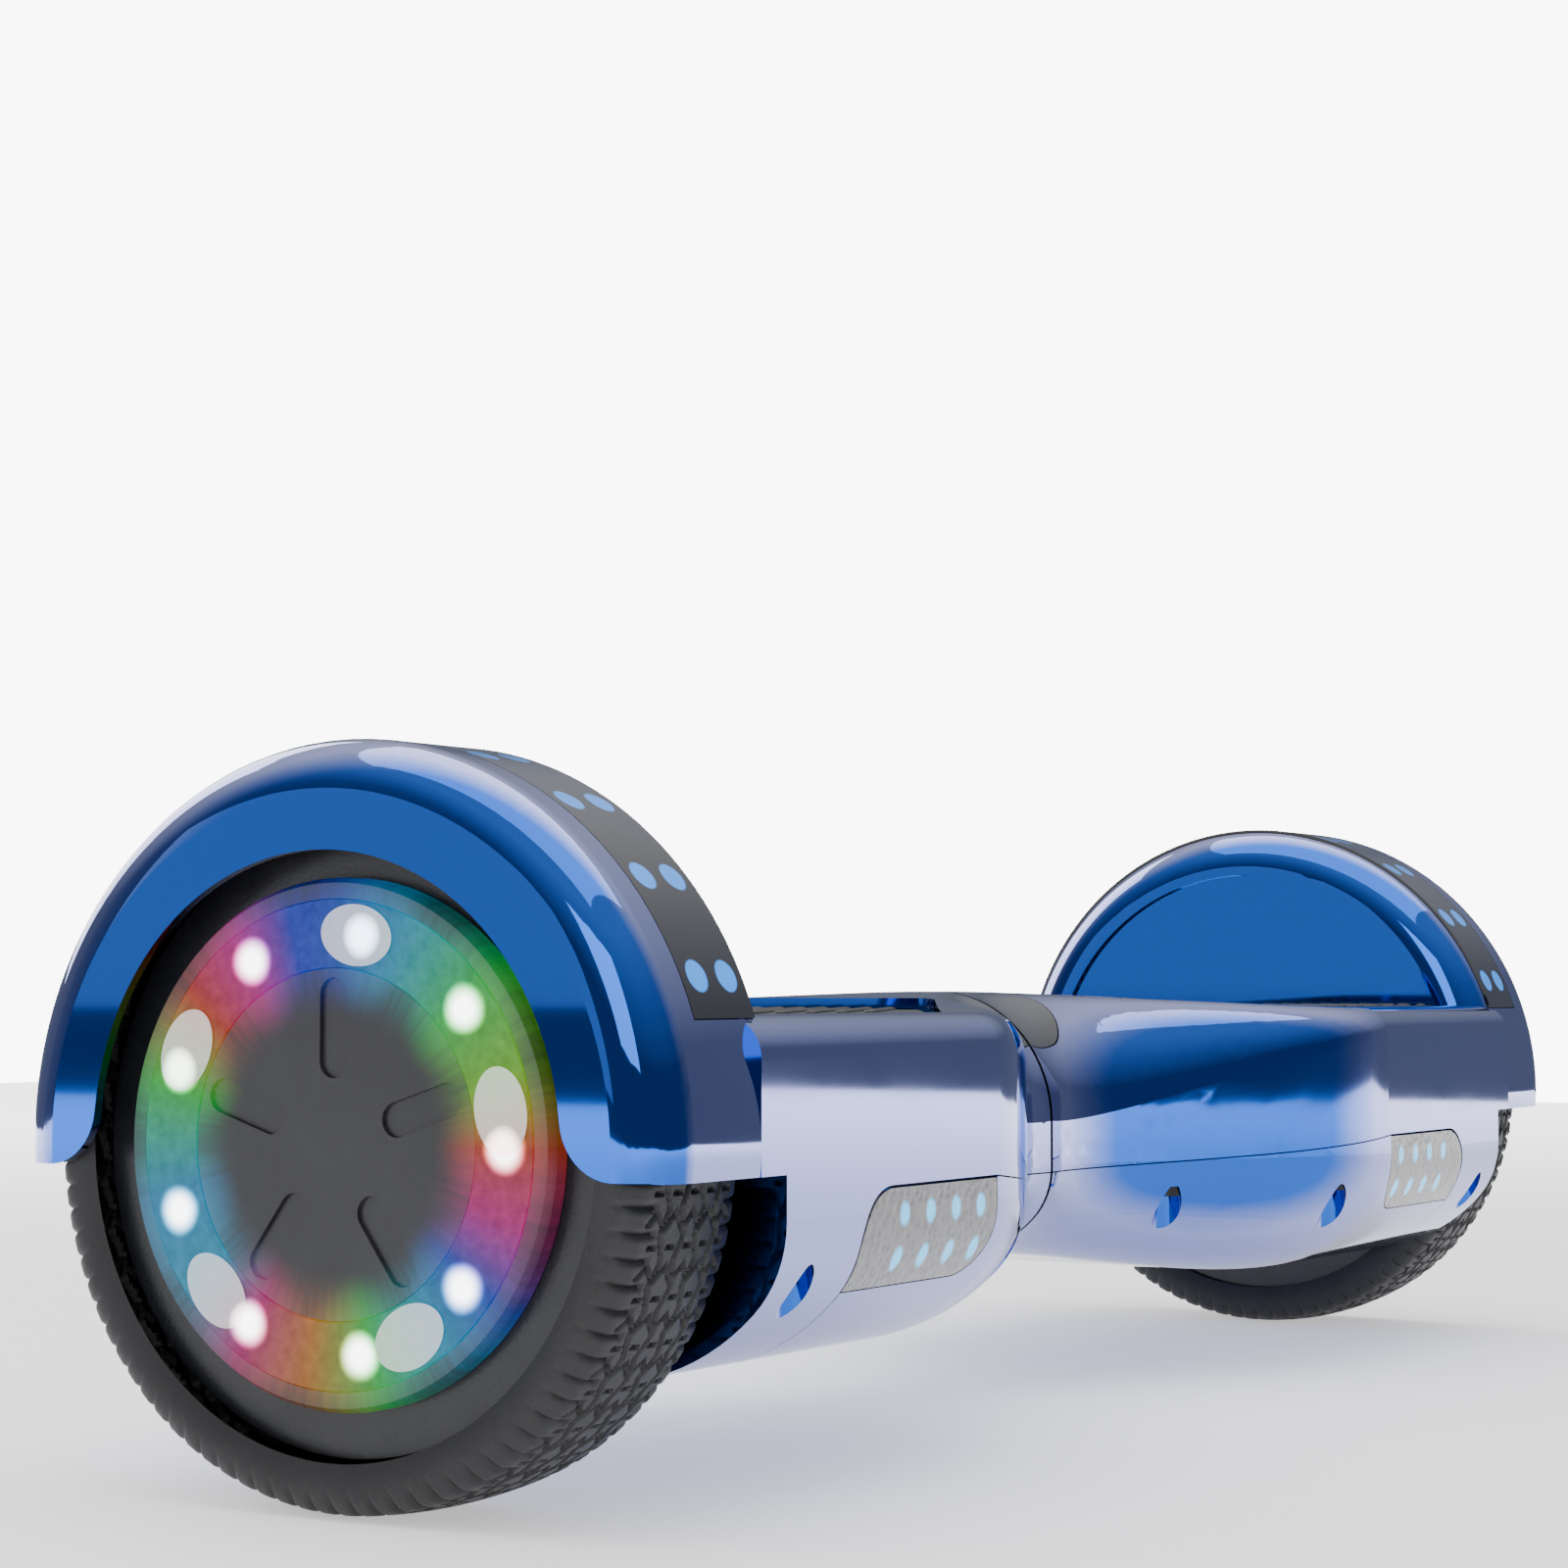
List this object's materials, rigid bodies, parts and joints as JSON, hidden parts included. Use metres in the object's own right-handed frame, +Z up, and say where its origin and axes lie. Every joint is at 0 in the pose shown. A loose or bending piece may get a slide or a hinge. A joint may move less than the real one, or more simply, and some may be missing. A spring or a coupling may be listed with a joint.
{
  "type": "self balancing hoverboard",
  "caption": "Two-wheeled self balancing board: two shelled halves that twist on a centre pivot, hub-motor wheels under lit mudguards, pressure foot pads.",
  "frame": {"origin": "on the ground under the centre of the board", "axes": "X along the wheel axle with the left wheel at -X, -Y the front with the headlights, Z up"},
  "size_m": [0.584, 0.186, 0.178],
  "materials": {
    "chrome_blue": "mirror-plated plastic with a blue tint",
    "gloss_black": "high gloss",
    "lamp_lens": "pebbled translucent lens",
    "smoked_lens": "smoked translucent lens",
    "led_board": "lit lamps on a board",
    "cast_aluminium": "as cast",
    "zinc_steel": "zinc plated",
    "black_steel": "black oxide",
    "circuit_board": "solder mask",
    "lamination_steel": "stacked laminations",
    "copper_winding": "enamelled copper wire",
    "tyre_rubber": "moulded",
    "black_rim": "satin black",
    "grey_cover": "warm grey",
    "magnet": "nickel plated",
    "satin_black": "fine satin grain",
    "clear_lens": "clear diffuser",
    "pad_rubber": "moulded grip",
    "bronze": "sintered",
    "battery_wrap": "shrink wrap"
  },
  "bodies": {
    "left_half": {"left_upper_shell": "chrome_blue", "left_lower_shell": "chrome_blue", "left_centre_cap": "gloss_black", "left_headlight_lens": "lamp_lens", "left_fender_light_lens": "smoked_lens", "left_fender_led_strip": "led_board", "left_headlight_board": "led_board", "left_chassis": "cast_aluminium", "left_axle_clamp": "cast_aluminium", "left_clamp_bolts": "zinc_steel", "left_shell_screws": "black_steel", "left_sensor_boards": "circuit_board", "left_axle": "zinc_steel", "left_stator_core": "lamination_steel", "left_stator_windings": "copper_winding", "pivot_tube": "zinc_steel", "pivot_circlips": "black_steel", "main_board": "circuit_board"},
    "left_wheel": {"left_tyre": "tyre_rubber", "left_hub_shell": "black_rim", "left_motor_cover": "grey_cover", "left_motor_cover_screws": "black_steel", "left_wheel_bearings": "zinc_steel", "left_rotor_magnets": "magnet", "left_wheel_cover": "satin_black", "left_wheel_light_ring": "clear_lens", "left_wheel_led_board": "led_board"},
    "left_foot_pad": {"left_foot_pad": "pad_rubber"},
    "right_half": {"right_upper_shell": "chrome_blue", "right_lower_shell": "chrome_blue", "right_centre_cap": "gloss_black", "right_headlight_lens": "lamp_lens", "right_fender_light_lens": "smoked_lens", "right_fender_led_strip": "led_board", "right_headlight_board": "led_board", "right_chassis": "cast_aluminium", "right_axle_clamp": "cast_aluminium", "right_clamp_bolts": "zinc_steel", "right_shell_screws": "black_steel", "right_sensor_boards": "circuit_board", "right_axle": "zinc_steel", "right_stator_core": "lamination_steel", "right_stator_windings": "copper_winding", "pivot_bushes": "bronze", "battery_pack": "battery_wrap", "battery_strap": "zinc_steel", "power_switch": "satin_black", "charge_inlet": "zinc_steel"},
    "right_wheel": {"right_tyre": "tyre_rubber", "right_hub_shell": "black_rim", "right_motor_cover": "grey_cover", "right_motor_cover_screws": "black_steel", "right_wheel_bearings": "zinc_steel", "right_rotor_magnets": "magnet", "right_wheel_cover": "satin_black", "right_wheel_light_ring": "clear_lens", "right_wheel_led_board": "led_board"},
    "right_foot_pad": {"right_foot_pad": "pad_rubber"},
    "power_button": {"power_button": "satin_black"},
    "charge_inlet_cap": {"charge_inlet_cap": "pad_rubber"}
  },
  "joints": [
    {"name": "centre_pivot", "type": "hinge", "parent": "left_half", "child": "right_half", "pos_m": [0, 0, 0.08], "axis": [1, 0, 0], "range_deg": [-12, 12]},
    {"name": "left_wheel_spin", "type": "hinge", "parent": "left_half", "child": "left_wheel", "pos_m": [-0.265, 0, 0.085], "axis": [1, 0, 0], "continuous": true},
    {"name": "left_pad_press", "type": "slide", "parent": "left_half", "child": "left_foot_pad", "axis": [0, 0, -1], "range_m": [0, 0.0015], "stiffness_N_per_m": 6000, "springref_m": -0.001},
    {"name": "right_wheel_spin", "type": "hinge", "parent": "right_half", "child": "right_wheel", "pos_m": [0.265, 0, 0.085], "axis": [1, 0, 0], "continuous": true},
    {"name": "right_pad_press", "type": "slide", "parent": "right_half", "child": "right_foot_pad", "axis": [0, 0, -1], "range_m": [0, 0.0015], "stiffness_N_per_m": 6000, "springref_m": -0.001},
    {"name": "power_press", "type": "slide", "parent": "right_half", "child": "power_button", "axis": [0, -1, 0], "range_m": [0, 0.001], "stiffness_N_per_m": 1500, "springref_m": -0.001},
    {"name": "inlet_cap_hinge", "type": "hinge", "parent": "right_half", "child": "charge_inlet_cap", "pos_m": [0.196, 0.093, 0.099], "axis": [1, 0, 0], "range_deg": [0, 110]}
  ]
}
